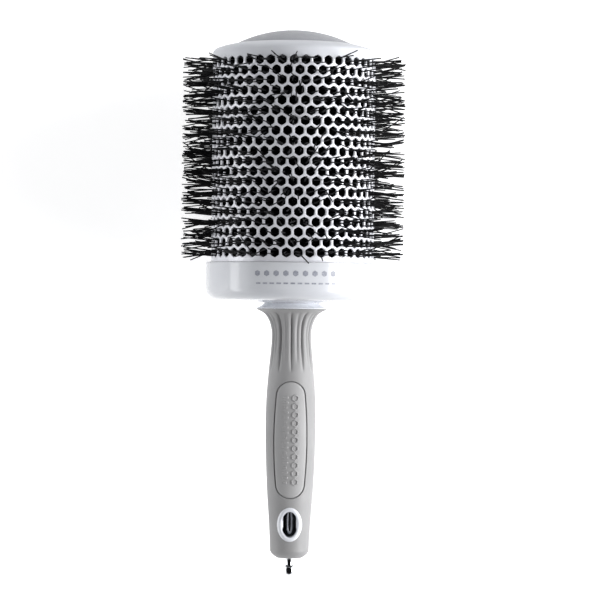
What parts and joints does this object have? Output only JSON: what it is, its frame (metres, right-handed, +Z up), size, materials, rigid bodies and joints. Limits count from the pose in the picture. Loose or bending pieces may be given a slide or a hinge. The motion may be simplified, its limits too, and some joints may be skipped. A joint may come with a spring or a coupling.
{
  "type": "round barrel hairbrush",
  "caption": "Large vented round hairbrush: coated metal barrel ringed with dark bristles, white collar and cap, grey grip with an oval window and a sectioning pin that pulls out of its end.",
  "frame": {"origin": "under the middle of the brush's bounding box, on the surface that it lies on", "axes": "+Y along the brush from handle to barrel, +Z up and out of the handle's window side, +X to the right with the barrel pointing away"},
  "size_m": [0.11, 0.2686, 0.109],
  "materials": {
    "white_plastic": "smooth gloss",
    "dome_plastic": "pearl satin",
    "barrel_ceramic": "pearl ceramic coating",
    "grip_rubber": "matte soft touch",
    "core_plastic": "moulded",
    "bristle_nylon": "drawn filament",
    "core_steel": "drawn wire",
    "pin_chrome": "mirror polish",
    "seal_rubber": "matte"
  },
  "bodies": {
    "brush": {"barrel_tube": "barrel_ceramic", "top_cap": "white_plastic", "cap_dome": "dome_plastic", "wire_ferrule": "core_steel", "core_wire_a": "core_steel", "core_wire_b": "core_steel", "collar": "white_plastic", "neck_boss": "white_plastic", "lock_ring": "core_steel", "handle_core": "core_plastic", "handle_grip": "grip_rubber", "grip_panel_front": "grip_rubber", "grip_panel_back": "grip_rubber", "window_bezel": "white_plastic", "bristle_band_01": "bristle_nylon", "bristle_band_02": "bristle_nylon", "bristle_band_03": "bristle_nylon", "bristle_band_04": "bristle_nylon", "bristle_band_05": "bristle_nylon", "bristle_band_06": "bristle_nylon", "bristle_band_07": "bristle_nylon", "bristle_band_08": "bristle_nylon", "bristle_band_09": "bristle_nylon", "bristle_band_10": "bristle_nylon"},
    "pin_seal": {"pin_ring": "seal_rubber"},
    "pin": {"sectioning_pin": "pin_chrome"}
  },
  "joints": [
    {"name": "pin_draw", "type": "slide", "parent": "brush", "child": "pin_seal", "axis": [0, -1, 0], "range_m": [0, 0.08]},
    {"name": "pin_turn", "type": "hinge", "parent": "pin_seal", "child": "pin", "pos_m": [0, -0.0958, 0.0545], "axis": [0, -1, 0], "continuous": true}
  ]
}
